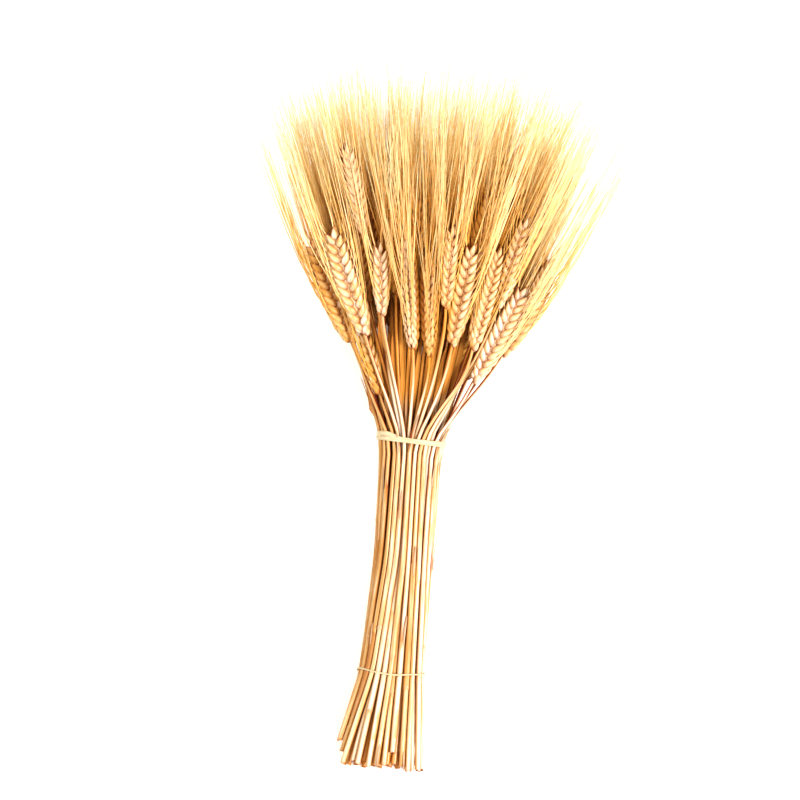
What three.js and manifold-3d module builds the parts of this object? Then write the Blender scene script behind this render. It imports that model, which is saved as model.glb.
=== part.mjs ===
// A tied bunch of dried bearded wheat, lying on a flat surface.
// Millimetres, +Z up. The stalks run along Y, with the cut ends at -Y and the ears at +Y.
// The origin is on the surface, under the middle of the flat tie round the neck of the bunch.

import * as THREE from "three";
import { mergeVertices } from "three/addons/utils/BufferGeometryUtils.js";
import Module from "manifold-3d";

const wasm = await Module();
wasm.setup();

// Driving sizes.
const STALKS = 54;
const SEED = 22;
const CULM_SIDES = 5;
const CULM_RADIUS = { cut: 2.05, neck: 1.5, ear: 1.15 }; // a straw thins towards its ear
const CUT_ENDS = { along: -236, stagger: 5 }; // where the straws are cut, and how unevenly
const UNEVEN_CUT = { chance: 0.12, shorter: 9 }; // a few straws were cut shorter
const SPLAYED = { stalks: 2, out: 15, shorter: 18 }; // loose straws at the left of the cut ends
const STRAIGHT_ENDS = { cut: 4, ear: 6 };
const INSIDE_EAR = 0.08; // share of the ear that hides the top of the straw
const CLEARANCE = 0.32; // least air between two stalks
const EAR = { length: 68, width: 13.5, thick: 10.5, lowest: 46, highest: 122, air: 0.55 };
const EAR_VARIES = { length: [0.9, 0.22], width: [0.9, 0.12], thick: [0.92, 0.12] }; // least, range
const EAR_SCATTER = { along: 5, turn: 80 };
const ROOM = { below: 12, beyond: 0.5 }; // from where an ear takes room, and the share past its tip
const PODS = { aSide: 7, reach: 0.9, bulge: 0.5, plump: 0.92, overhang: 1.9, lastAside: 0.06 };
const VALLEY = { deep: 0.3, weave: 0.07 }; // between the two rows of husks
const AWNS = { inFour: 2, root: 0.48, inward: 1.2, opens: 0.05, length: 112, cone: 9 };
const AWN_ENDS = { farthest: 290, uneven: 50 }; // along the bunch
const AWN_VARIES = [0.88, 0.2]; // least share of the length, and the range above it
const AWN_SEARCH = { attempts: 40, widen: 25, opens: 0.6, step: 2.5, past: 2, below: 0.05, swell: 1.1 };
const TIE_GAP = 0.3; // a tie stands just clear of the straws
const NECK_TIE = { along: 0, width: 4.0, thick: 1.1, facets: 28, skew: -2.2 };
const TAIL_TIE = { along: -168, width: 1.6, thick: 1.1, facets: 24, skew: 1 };
const TIE_FLOOR = TIE_GAP + NECK_TIE.thick; // the straws ride this high over a tie

// The outline of the bunch: at each place along it, the middle and half the width and height
// of the ellipse that the stalks fill, and the height of its lowest straw's underside.
const OUTLINE = [
  { along: -242, middle: -5.1, wide: 38.3, high: 15.5, floor: 0 },
  { along: -168, middle: -0.5, wide: 24.0, high: 15.0, floor: TIE_FLOOR },
  { along: -84, middle: 1.6, wide: 21.6, high: 13.6, floor: TIE_FLOOR },
  { along: 0, middle: 0.3, wide: 23.4, high: 12.4, floor: TIE_FLOOR },
  { along: 22, middle: 0.0, wide: 30.0, high: 15.5, floor: TIE_FLOOR },
  { along: 50, middle: 3.0, wide: 45.0, high: 25.0, floor: 0.5 },
  { along: 82, middle: 7.0, wide: 66.0, high: 35.0, floor: 0.25 },
  { along: 114, middle: 8.0, wide: 84.0, high: 42.0, floor: 0.25 },
  { along: 146, middle: 7.0, wide: 98.0, high: 47.0, floor: 0.25 },
  { along: 178, middle: 7.0, wide: 110.0, high: 51.0, floor: 0.25 },
  { along: 210, middle: 7.0, wide: 122.0, high: 54.0, floor: 0.25 },
];
const LEVELS = OUTLINE.map((o) => o.along);
const LAST = LEVELS.length - 1;
const SAG = 0.72; // the ellipse's middle over the surface, so that the bunch lies flat on it
const SEAT_ASPECT = 2.2; // width over height of the ellipse in which the stalks are dealt out

// How the stalks are dealt out over a disc of radius 1: how far out the seats go, how high the
// top ears lie and how low the others, and how they are evened out.
const DEAL = {
  reach: 0.95,
  edge: 0.96,
  high: 0.92,
  low: 0.08,
  apart: 1.75,
  passes: 120,
  push: 0.1,
  held: 0.2, // share of a push that moves a top ear, only up or down
};
const SEAT_INSET = { top: 6, others: 5 }; // millimetres that a seat keeps from the outline

// How the stalks settle: the share of each fault that one pass mends.
const SETTLE = {
  passes: 900,
  pushOnly: 300, // the last passes
  push: 0.25,
  hold: { tied: 0.4, loose: 0.1 },
  ease: { tied: 0.03, loose: 0.12 },
  straighten: { easing: 0.3, last: 0.05 },
  draw: 0.3,
  drawFrom: -0.45, // in lengths of a top ear, from its base
  drawTo: 1.45,
  least: 0.5, // of the outline's height, where a wide ear would leave less
};

const TOP_EAR_WIDTH = 14.5; // the width at which a top ear has the thickness of EAR

// The ears that lie on top and face up, each from its base to its tip as [across, along],
// with its width and how far it is turned about its own axis, in degrees.
const TOP_EARS = [
  { base: [-47.9, 65.5], tip: [-84.6, 136.2], width: 16.0, turn: 10 },
  { base: [-39.1, 72.7], tip: [-68.0, 145.5], width: 17.5, turn: -8 },
  { base: [-22.6, 30.0], tip: [-39.7, 73.0], width: 11.5, turn: 25 },
  { base: [-28.5, 88.0], tip: [-32.6, 136.0], width: 12.0, turn: 0 },
  { base: [-42.6, 143.0], tip: [-63.5, 205.0], width: 13.0, turn: 20 },
  { base: [-3.0, 64.0], tip: [-14.5, 144.0], width: 13.5, turn: 70 },
  { base: [10.2, 61.5], tip: [1.5, 134.4], width: 13.0, turn: -65 },
  { base: [18.0, 96.0], tip: [13.5, 152.0], width: 12.0, turn: 15 },
  { base: [24.7, 69.9], tip: [33.0, 142.0], width: 14.5, turn: -12 },
  { base: [41.0, 68.0], tip: [50.5, 142.0], width: 13.5, turn: 30 },
  { base: [44.0, 45.4], tip: [72.4, 115.0], width: 15.5, turn: -5 },
  { base: [61.2, 66.0], tip: [91.6, 137.0], width: 15.5, turn: 8 },
  { base: [57.0, 100.0], tip: [70.0, 163.0], width: 13.0, turn: -20 },
];

// A small seeded generator of numbers from 0 to 1.
function seededRandom(seed) {
  let state = seed >>> 0;
  return () => {
    state = (state + 0x6d2b79f5) >>> 0;
    let t = state;
    t = Math.imul(t ^ (t >>> 15), t | 1);
    t ^= t + Math.imul(t ^ (t >>> 7), t | 61);
    return ((t ^ (t >>> 14)) >>> 0) / 4294967296;
  };
}

const { lerp, clamp, degToRad } = THREE.MathUtils;
const scatter = ([least, range], random) => least + range * random();

// Reads a list of values given at LEVELS at any place along the bunch.
function readAt(values, along) {
  let k = 0;
  while (k < LAST - 1 && along > LEVELS[k + 1]) k += 1;
  return lerp(values[k], values[k + 1], (along - LEVELS[k]) / (LEVELS[k + 1] - LEVELS[k]));
}

function culmRadius(stalk, along) {
  if (along < 0) return lerp(CULM_RADIUS.neck, CULM_RADIUS.cut, along / CUT_ENDS.along);
  return lerp(CULM_RADIUS.neck, CULM_RADIUS.ear, clamp(along / stalk.earBase, 0, 1));
}

// How full an ear is at a share of its length: 1 below its middle, less at its ends.
const earFullness = (share) => Math.sin(Math.PI * (0.2 + 0.62 * clamp(share, 0, 1))) ** 0.9;

// Deals the stalks out evenly over a disc. The top ears keep the place across the bunch that
// they have half way up, and lie high; the others follow a sunflower spiral below them.
function dealSeats() {
  const wideAt = OUTLINE.map((o) => o.wide);
  const middleAt = OUTLINE.map((o) => o.middle);
  const seats = TOP_EARS.map((ear) => {
    const along = (ear.base[1] + ear.tip[1]) / 2;
    const across = (ear.base[0] + ear.tip[0]) / 2;
    const wide = readAt(wideAt, along) - SEAT_INSET.top;
    const p = clamp((across - readAt(middleAt, along)) / wide, -DEAL.reach, DEAL.reach);
    return { p, q: DEAL.high * Math.sqrt(1 - p ** 2), held: true };
  });
  const goldenAngle = Math.PI * (3 - Math.sqrt(5));
  const others = STALKS - seats.length;
  for (let k = 0; k < others; k += 1) {
    const reach = DEAL.reach * Math.sqrt((k + 0.5) / others);
    const angle = k * goldenAngle;
    seats.push({ p: reach * Math.cos(angle), q: reach * Math.sin(angle) - DEAL.low, held: false });
  }
  const apart = DEAL.apart * Math.sqrt(SEAT_ASPECT / STALKS);
  for (let pass = 0; pass < DEAL.passes; pass += 1) {
    for (const a of seats) {
      for (const b of seats) {
        const dx = (a.p - b.p) * SEAT_ASPECT;
        const dz = a.q - b.q;
        const gap = Math.hypot(dx, dz);
        if (gap === 0 || gap >= apart) continue;
        const push = (DEAL.push * (apart - gap)) / gap;
        if (!a.held) a.p += (dx * push) / SEAT_ASPECT;
        a.q += dz * push * (a.held ? DEAL.held : 1);
      }
      const out = Math.max(1, Math.hypot(a.p, a.q) / DEAL.edge);
      a.q /= out;
      if (!a.held) a.p /= out;
    }
  }
  return seats;
}

// One record for each stalk: its ear's place and size, its cut end and its path, which is a
// point [across, up] at each level.
function planStalks() {
  const random = seededRandom(SEED);
  const seats = dealSeats();
  const leftmost = seats.map((s) => s.p).sort((a, b) => a - b)[SPLAYED.stalks - 1];
  return seats.map((seat, index) => {
    const top = TOP_EARS[index];
    const spread = (index * 0.618034) % 1;
    const length = EAR.length * scatter(EAR_VARIES.length, random);
    const base = lerp(EAR.lowest, EAR.highest, spread) + EAR_SCATTER.along * (random() - 0.5);
    const splayed = seat.p <= leftmost ? 1 : 0;
    const even = CUT_ENDS.along + CUT_ENDS.stagger * (random() - 0.5);
    const cut = even + (random() < UNEVEN_CUT.chance ? UNEVEN_CUT.shorter : 0);
    return {
      top,
      earBase: top ? top.base[1] : base,
      earTip: top ? top.tip[1] : base + length,
      width: top ? top.width : EAR.width * scatter(EAR_VARIES.width, random),
      thick: EAR.thick * (top ? top.width / TOP_EAR_WIDTH : scatter(EAR_VARIES.thick, random)),
      turn: degToRad(top ? top.turn : EAR_SCATTER.turn * (random() - 0.5)),
      cut: cut + splayed * SPLAYED.shorter,
      path: OUTLINE.map((o, k) => [
        o.middle + (o.wide - SEAT_INSET.others) * seat.p - (k === 0 ? splayed * SPLAYED.out : 0),
        o.floor + o.high * (SAG + 0.9 * seat.q) + random() - 0.5,
      ]),
    };
  });
}

// Half the room, [across, up], that a stalk takes at a level.
function roomOf(stalk, level) {
  const along = LEVELS[level];
  const slack = CLEARANCE / 2;
  const share = (along - stalk.earBase) / (stalk.earTip - stalk.earBase);
  if (along < stalk.earBase - ROOM.below) {
    const radius = culmRadius(stalk, along) + slack;
    return [radius, radius];
  }
  const full = share > 1 ? ROOM.beyond : earFullness(share);
  const wide = (stalk.width / 2) * full + slack + EAR.air;
  const thick = (stalk.thick / 2) * full + slack + EAR.air;
  const c = Math.cos(stalk.turn);
  const s = Math.sin(stalk.turn);
  return [Math.hypot(wide * c, thick * s), Math.hypot(wide * s, thick * c)];
}

// Settles the stalks: they are pushed apart wherever they would meet, also between two levels,
// kept in the outline and over the surface, drawn to the places of the top ears and smoothed.
function settle(stalks) {
  const count = stalks.length;
  const rooms = stalks.map((s) => LEVELS.map((_, k) => roomOf(s, k)));
  for (let pass = 0; pass < SETTLE.passes; pass += 1) {
    const easing = pass < SETTLE.passes - SETTLE.pushOnly;
    const reach = stalks.map((s, i) => LEVELS.map((_, k) => leanRoom(s.path, rooms[i][k], k)));
    const moves = stalks.map(() => LEVELS.map(() => [0, 0]));
    for (let k = 0; k < LAST; k += 1) {
      for (let i = 0; i < count; i += 1) {
        for (let j = i + 1; j < count; j += 1) {
          pushApart(stalks[i].path, stalks[j].path, reach[i], reach[j], moves[i], moves[j], k);
        }
      }
    }
    stalks.forEach((stalk, i) => {
      const before = stalk.path.map((p) => [...p]);
      stalk.path.forEach((point, k) => {
        const o = OUTLINE[k];
        const kind = tied(k) ? "tied" : "loose";
        const [rx, rz] = rooms[i][k];
        point[0] += moves[i][k][0];
        point[1] += moves[i][k][1];
        const middleUp = o.floor + SAG * o.high;
        const out = Math.hypot(
          (point[0] - o.middle) / (o.wide - rx),
          (point[1] - middleUp) / Math.max(o.high - rz, SETTLE.least * o.high),
        );
        if (out > 1 && (easing || tied(k))) {
          const pull = SETTLE.hold[kind] * (1 - 1 / out);
          point[0] -= pull * (point[0] - o.middle);
          point[1] -= pull * (point[1] - middleUp);
        }
        if (easing && stalk.top) {
          const share = (o.along - stalk.top.base[1]) / (stalk.top.tip[1] - stalk.top.base[1]);
          const target = lerp(stalk.top.base[0], stalk.top.tip[0], share);
          const near = share > SETTLE.drawFrom && share < SETTLE.drawTo;
          if (near) point[0] += SETTLE.draw * (target - point[0]);
        }
        if (easing && k > 0 && k < LAST) {
          const t = (o.along - LEVELS[k - 1]) / (LEVELS[k + 1] - LEVELS[k - 1]);
          const ease = SETTLE.ease[kind];
          point[0] += ease * (lerp(before[k - 1][0], before[k + 1][0], t) - before[k][0]);
          point[1] += ease * (lerp(before[k - 1][1], before[k + 1][1], t) - before[k][1]);
        }
        point[1] = Math.max(point[1], o.floor + rz);
      });
      straighten(stalk, easing ? SETTLE.straighten.easing : SETTLE.straighten.last);
    });
  }
}

// Draws the levels that an ear passes towards the straight line from its base to its tip.
function straighten(stalk, ease) {
  const base = pointOn(stalk, stalk.earBase);
  const tip = pointOn(stalk, stalk.earTip);
  LEVELS.forEach((along, k) => {
    if (along < stalk.earBase || along > stalk.earTip) return;
    const t = (along - stalk.earBase) / (stalk.earTip - stalk.earBase);
    stalk.path[k][0] += ease * (lerp(base.x, tip.x, t) - stalk.path[k][0]);
    stalk.path[k][1] += ease * (lerp(base.z, tip.z, t) - stalk.path[k][1]);
  });
}

// True at the levels that the ties hold together.
const tied = (level) => LEVELS[level] <= 0;

// A stalk that leans takes more room in a level plane.
function leanRoom(path, room, level) {
  const a = Math.max(level - 1, 0);
  const b = Math.min(level + 1, LAST);
  const run = LEVELS[b] - LEVELS[a];
  return [
    room[0] * Math.hypot(1, (path[b][0] - path[a][0]) / run),
    room[1] * Math.hypot(1, (path[b][1] - path[a][1]) / run),
  ];
}

// Finds where two stalks come nearest between two levels and pushes both ends apart there.
function pushApart(pathA, pathB, roomA, roomB, movesA, movesB, k) {
  const rx0 = roomA[k][0] + roomB[k][0];
  const rz0 = roomA[k][1] + roomB[k][1];
  const rx1 = roomA[k + 1][0] + roomB[k + 1][0];
  const rz1 = roomA[k + 1][1] + roomB[k + 1][1];
  const x0 = (pathA[k][0] - pathB[k][0]) / rx0;
  const z0 = (pathA[k][1] - pathB[k][1]) / rz0;
  const ex = (pathA[k + 1][0] - pathB[k + 1][0]) / rx1 - x0;
  const ez = (pathA[k + 1][1] - pathB[k + 1][1]) / rz1 - z0;
  const t = clamp(-(x0 * ex + z0 * ez) / (ex * ex + ez * ez + 1e-9), 0, 1);
  const x = x0 + t * ex;
  const z = z0 + t * ez;
  const apart = Math.hypot(x, z) + 1e-9;
  if (apart >= 1) return;
  const push = (SETTLE.push * (1 - apart)) / apart;
  movesA[k][0] += (1 - t) * push * x * rx0;
  movesA[k][1] += (1 - t) * push * z * rz0;
  movesB[k][0] -= (1 - t) * push * x * rx0;
  movesB[k][1] -= (1 - t) * push * z * rz0;
  movesA[k + 1][0] += t * push * x * rx1;
  movesA[k + 1][1] += t * push * z * rz1;
  movesB[k + 1][0] -= t * push * x * rx1;
  movesB[k + 1][1] -= t * push * z * rz1;
}

// The stalk's middle at a place along the bunch.
function pointOn(stalk, along) {
  const across = stalk.path.map((p) => p[0]);
  const up = stalk.path.map((p) => p[1]);
  return new THREE.Vector3(readAt(across, along), along, readAt(up, along));
}

// A closed three.js geometry as a solid, and back.
function toSolid(geometry) {
  const bare = geometry.clone();
  bare.deleteAttribute("normal");
  bare.deleteAttribute("uv");
  const merged = mergeVertices(bare, 1e-5);
  return new wasm.Manifold(
    new wasm.Mesh({
      numProp: 3,
      vertProperties: Float32Array.from(merged.attributes.position.array),
      triVerts: Uint32Array.from(merged.index.array),
    }),
  );
}

function toGeometry(solid) {
  const mesh = solid.getMesh();
  const indexed = new THREE.BufferGeometry();
  indexed.setAttribute("position", new THREE.BufferAttribute(mesh.vertProperties, 3));
  indexed.setIndex(new THREE.BufferAttribute(mesh.triVerts, 1));
  const geometry = indexed.toNonIndexed();
  geometry.computeVertexNormals();
  return geometry;
}

// Joins two solids into the one body that they make.
function join(a, b) {
  const bodies = a.add(b).decompose();
  return bodies.reduce((most, body) => (body.volume() > most.volume() ? body : most));
}

// The straw from its cut end to a little way inside its ear. It has no bend close to its ends.
function culmSolid(stalk) {
  const { cut, earBase, earTip } = stalk;
  const bends = LEVELS.filter((y) => y > cut + STRAIGHT_ENDS.cut && y < earBase - STRAIGHT_ENDS.ear);
  const rows = [cut, ...bends, lerp(earBase, earTip, INSIDE_EAR)];
  const top = rows.length - 1;
  const tube = new THREE.CylinderGeometry(1, 1, top, CULM_SIDES, top);
  const spots = tube.attributes.position;
  for (let i = 0; i < spots.count; i += 1) {
    const y = rows[Math.round(spots.getY(i) + top / 2)];
    const radius = culmRadius(stalk, y);
    const middle = pointOn(stalk, y);
    spots.setXYZ(i, middle.x + radius * spots.getX(i), y, middle.z + radius * spots.getZ(i));
  }
  return toSolid(tube);
}

// The directions of an ear, along it, across its face and out of it, with the point of its
// path at a share of its length.
function earFrame(stalk, share) {
  const { earBase, earTip, turn } = stalk;
  const place = pointOn(stalk, lerp(earBase, earTip, share));
  const ahead = pointOn(stalk, earTip).sub(pointOn(stalk, earBase)).normalize();
  const up = new THREE.Vector3(0, 0, 1).applyAxisAngle(ahead, turn);
  const across = new THREE.Vector3().crossVectors(ahead, up).normalize();
  const out = new THREE.Vector3().crossVectors(across, ahead);
  return { place, ahead, across, out };
}

// A point near an ear's axis, by millimetres across, out and ahead.
function earPoint(frame, across, out, ahead) {
  const point = frame.place.clone().addScaledVector(frame.across, across);
  return point.addScaledVector(frame.out, out).addScaledVector(frame.ahead, ahead);
}

// The clusters of husks on an ear, by turns on its right and its left. Each has a bulge to the
// front and one to the back, and a pointed tip that stands out over the next cluster. The last
// one ends the ear.
function podsOf(stalk) {
  const length = (stalk.earTip - stalk.earBase) / earFrame(stalk, 0.5).ahead.y;
  const step = PODS.reach / (2 * PODS.aSide + 1);
  const pods = [];
  for (let k = 0; k < 2 * PODS.aSide; k += 1) {
    const side = k % 2 ? -1 : 1;
    const frame = earFrame(stalk, (k + 1) * step);
    const full = earFullness((k + 1) * step);
    const half = side * (stalk.width / 2) * full;
    const deep = PODS.plump * (stalk.thick / 2) * full;
    pods.push({
      side,
      frame,
      half: Math.abs(half),
      front: earPoint(frame, PODS.bulge * half, deep, 0),
      back: earPoint(frame, PODS.bulge * half, -deep, 0),
      tip: earPoint(frame, half, 0, PODS.overhang * step * length),
    });
  }
  const frame = earFrame(stalk, 1);
  pods.push({ side: 1, frame, tip: earPoint(frame, PODS.lastAside * stalk.width, 0, 0) });
  return pods;
}

// An ear as one closed mesh. Its two rows of husks meet in a zigzag valley on the front and on
// the back; a husk that bears an awn runs out into a three-sided needle.
function earSolid(stalk) {
  const step = PODS.reach / (2 * PODS.aSide + 1);
  const points = [];
  const faces = [];
  const put = (point) => points.push(point) - 1;
  const fill = (side, triangles) => {
    triangles.forEach(([a, b, c]) => faces.push(...(side > 0 ? [a, b, c] : [a, c, b])));
  };
  const valley = [];
  for (let j = 0; j <= 2 * PODS.aSide + 1; j += 1) {
    const frame = earFrame(stalk, j * step);
    const full = earFullness(j * step);
    const weave = (j % 2 ? -1 : 1) * VALLEY.weave * stalk.width;
    const deep = VALLEY.deep * stalk.thick * full;
    valley.push([put(earPoint(frame, weave, deep, 0)), put(earPoint(frame, weave, -deep, 0))]);
  }
  stalk.pods.forEach((pod, k) => {
    const { side, frame, tip, awn } = pod;
    const [f0, b0] = valley[k];
    const [f1, b1] = valley[k + 1];
    const atTip = { ...frame, place: tip };
    const thick = awn ? AWNS.root : 0;
    const tipFront = put(earPoint(atTip, 0, thick, 0));
    const tipBack = awn ? put(earPoint(atTip, 0, -thick, 0)) : tipFront;
    const tipInner = awn ? put(earPoint(atTip, -side * AWNS.inward * thick, 0, 0)) : tipFront;
    if (awn) {
      const point = put(awn);
      fill(side, [
        [tipBack, point, tipFront],
        [tipInner, point, tipBack],
        [tipFront, point, tipInner],
      ]);
    }
    if (!pod.front) {
      fill(side, [
        [b0, b1, tipBack],
        [b1, f1, tipInner],
        [f1, f0, tipFront],
        [f0, b0, tipBack],
      ]);
      if (awn) {
        fill(side, [
          [b1, tipInner, tipBack],
          [f1, tipFront, tipInner],
          [f0, tipBack, tipFront],
        ]);
      }
      return;
    }
    const [f2, b2] = valley[k + 2];
    const front = put(pod.front);
    const back = put(pod.back);
    fill(side, [
      [b0, back, front],
      [b0, front, f0],
      [f0, front, f1],
      [f1, front, f2],
      [b0, b1, back],
      [b1, b2, back],
      [f2, front, tipFront],
      [b2, tipBack, back],
      [back, tipBack, front],
      [b2, f2, tipInner],
    ]);
    if (awn) {
      fill(side, [
        [front, tipBack, tipFront],
        [f2, tipFront, tipInner],
        [b2, tipInner, tipBack],
      ]);
    }
  });
  const [[f0, b0], [f1, b1]] = valley;
  fill(-1, [[b0, b1, f1], [b0, f1, f0]]);
  const ear = new THREE.BufferGeometry();
  ear.setAttribute("position", new THREE.Float32BufferAttribute(points.flatMap((p) => p.toArray()), 3));
  ear.setIndex(faces);
  return toSolid(ear);
}

// The least distance between two straight needles, each [start, end], less their half
// thicknesses, which run down to nothing at their ends.
function needleGap([a0, a1, ra], [b0, b1, rb]) {
  const u = a1.clone().sub(a0);
  const v = b1.clone().sub(b0);
  const w = a0.clone().sub(b0);
  const uu = u.dot(u);
  const uv = u.dot(v);
  const vv = v.dot(v);
  const uw = u.dot(w);
  const vw = v.dot(w);
  let s = clamp((uv * vw - vv * uw) / (uu * vv - uv * uv + 1e-9), 0, 1);
  const t = clamp((uv * s + vw) / vv, 0, 1);
  s = clamp((uv * t - uw) / uu, 0, 1);
  const gap = w.addScaledVector(u, s).addScaledVector(v, -t).length();
  return gap - ra * (1 - s) - rb * (1 - t);
}

// True where a needle stays clear of a stalk's straw and ear.
function clearsStalk([start, end, radius], stalk) {
  const steps = Math.ceil((end.y - start.y) / AWN_SEARCH.step);
  for (let k = 0; k <= steps; k += 1) {
    const spot = start.clone().lerp(end, k / steps);
    if (spot.y > stalk.earTip + AWN_SEARCH.past) return true;
    const middle = pointOn(stalk, spot.y);
    const share = (spot.y - stalk.earBase) / (stalk.earTip - stalk.earBase);
    const bare = share < -AWN_SEARCH.below;
    const half = (earFullness(share) * AWN_SEARCH.swell) / 2;
    const wide = bare ? culmRadius(stalk, spot.y) : stalk.width * half;
    const deep = bare ? wide : stalk.thick * half;
    const dx = spot.x - middle.x;
    const dz = spot.z - middle.z;
    const c = Math.cos(stalk.turn);
    const s = Math.sin(stalk.turn);
    const room = radius + CLEARANCE;
    if (Math.hypot((dx * c - dz * s) / (wide + room), (dx * s + dz * c) / (deep + room)) < 1) {
      return false;
    }
  }
  return true;
}

// The least angle, as a slope, at which an awn passes the husks above its own.
function leastOpening(pods, k) {
  const above = pods.slice(k + 1, -1).filter((pod) => pod.side === pods[k].side);
  const slopes = above.map((pod) => {
    const rise = pod.tip.clone().sub(pods[k].tip).dot(pod.frame.ahead);
    return (pod.half + 2 * AWNS.root - pods[k].half) / rise;
  });
  return Math.max(AWNS.opens, ...slopes);
}

// Gives each ear its awns: stiff bristles that stand out of its husks in a narrow cone. Each
// takes the first of a few seeded directions that is clear of the rest of the bunch.
function growAwns(stalks) {
  const random = seededRandom(SEED + 1);
  const placed = [];
  stalks.forEach((stalk) => {
    stalk.pods = podsOf(stalk);
    const last = stalk.pods.length - 1;
    stalk.pods.forEach((pod, k) => {
      if (k !== last && k % 4 >= AWNS.inFour) return;
      for (let attempt = 0; attempt < AWN_SEARCH.attempts; attempt += 1) {
        const cone = AWNS.cone * (1 + attempt / AWN_SEARCH.widen);
        const spread = Math.tan(degToRad(cone * AWN_SEARCH.opens * random()));
        const aside = pod.side * (leastOpening(stalk.pods, k) + spread);
        const open = k === last ? spread - AWNS.opens : aside;
        const tilt = Math.tan(degToRad(cone * 2 * (random() - 0.5)));
        const aim = pod.frame.ahead.clone();
        aim.addScaledVector(pod.frame.across, open).addScaledVector(pod.frame.out, tilt).normalize();
        const most = (AWN_ENDS.farthest - AWN_ENDS.uneven * random() - pod.tip.y) / aim.y;
        const length = Math.min(AWNS.length * scatter(AWN_VARIES, random), most);
        const end = pod.tip.clone().addScaledVector(aim, length);
        const needle = [pod.tip, end, AWNS.root * AWNS.inward];
        if (end.z < AWNS.root) continue;
        if (placed.some((other) => needleGap(needle, other) < CLEARANCE)) continue;
        if (stalks.some((other) => other !== stalk && !clearsStalk(needle, other))) continue;
        placed.push(needle);
        pod.awn = end;
        break;
      }
    });
  });
}

// A tie: a closed flat ring drawn round the outermost straws. Its sides lie along the lines
// that just touch the straws, moved out by a small gap.
function tieSolid(tie, stalks) {
  const slope = Math.tan(degToRad(tie.skew));
  const edges = [-tie.width / 2, 0, tie.width / 2];
  const discs = stalks.flatMap((stalk) =>
    edges.map((edge) => {
      const y = tie.along + edge;
      const spot = pointOn(stalk, y + slope * pointOn(stalk, y).x);
      return [spot.x, spot.z, culmRadius(stalk, y) + TIE_GAP];
    }),
  );
  const turn = (2 * Math.PI) / tie.facets;
  const sides = Array.from({ length: tie.facets }, (_, k) => {
    const angle = k * turn - Math.PI / 2;
    const [x, z] = [Math.cos(angle), Math.sin(angle)];
    return { x, z, reach: Math.max(...discs.map((d) => d[0] * x + d[1] * z + d[2])) };
  });
  sides[0].reach = -tie.thick; // the flat side that lies on the surface
  const corner = (k, out) => {
    const a = sides[k % tie.facets];
    const b = sides[(k + 1) % tie.facets];
    const cross = a.x * b.z - a.z * b.x;
    return new THREE.Vector2(
      ((a.reach + out) * b.z - (b.reach + out) * a.z) / cross,
      ((b.reach + out) * a.x - (a.reach + out) * b.x) / cross,
    );
  };
  const outline = (out) => sides.map((_, k) => corner(k, out));
  const shape = new THREE.Shape(outline(tie.thick));
  shape.holes.push(new THREE.Path(outline(0)));
  const ring = new THREE.ExtrudeGeometry(shape, { depth: tie.width, bevelEnabled: false });
  ring.rotateX(Math.PI / 2);
  ring.translate(0, tie.along + tie.width / 2, 0);
  const skewed = new THREE.Matrix4().makeShear(slope, 0, 0, 0, 0, 0);
  ring.applyMatrix4(skewed);
  return toSolid(ring);
}

const STRAW = new THREE.MeshStandardMaterial({ color: 0xdcb873, roughness: 0.6, metalness: 0 });
const RUBBER = new THREE.MeshStandardMaterial({ color: 0xf0e2bd, roughness: 0.55, metalness: 0 });

const stalks = planStalks();
settle(stalks);
growAwns(stalks);

const bunch = new THREE.Group();
bunch.name = "dried_wheat_bunch";

function addPart(name, solid, material) {
  const mesh = new THREE.Mesh(toGeometry(solid), material);
  mesh.name = name;
  bunch.add(mesh);
}

stalks.forEach((stalk, index) => {
  const name = `stalk_${String(index + 1).padStart(2, "0")}`;
  addPart(name, join(earSolid(stalk), culmSolid(stalk)), STRAW);
});
addPart("neck_tie", tieSolid(NECK_TIE, stalks), RUBBER);
addPart("tail_tie", tieSolid(TAIL_TIE, stalks), RUBBER);

export default bunch;
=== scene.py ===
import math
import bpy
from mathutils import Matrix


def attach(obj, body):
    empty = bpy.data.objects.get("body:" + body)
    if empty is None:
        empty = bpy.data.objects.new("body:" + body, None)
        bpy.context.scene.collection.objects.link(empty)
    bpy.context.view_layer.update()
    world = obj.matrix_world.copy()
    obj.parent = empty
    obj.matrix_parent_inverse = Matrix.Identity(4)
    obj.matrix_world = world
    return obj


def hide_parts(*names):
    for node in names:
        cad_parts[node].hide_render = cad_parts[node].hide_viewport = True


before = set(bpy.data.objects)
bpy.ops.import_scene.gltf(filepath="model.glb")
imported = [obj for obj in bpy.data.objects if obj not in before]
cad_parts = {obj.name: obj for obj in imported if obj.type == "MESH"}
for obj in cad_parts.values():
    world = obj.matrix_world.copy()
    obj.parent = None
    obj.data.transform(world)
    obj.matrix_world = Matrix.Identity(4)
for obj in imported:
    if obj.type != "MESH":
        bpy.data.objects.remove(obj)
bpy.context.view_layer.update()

# A tied bunch of dried bearded wheat on a white table, seen from straight above.
# Sizes are in millimetres and are turned to metres where a mesh is made. The stalks run along Y
# with their ears at +Y, Z is up, and the origin lies on the table under the neck tie.

from types import SimpleNamespace as Sizes

import bpy
import numpy as np
from mathutils import Vector

MM = 0.001
TINY = 1e-9  # keeps a division from being by nothing

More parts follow.
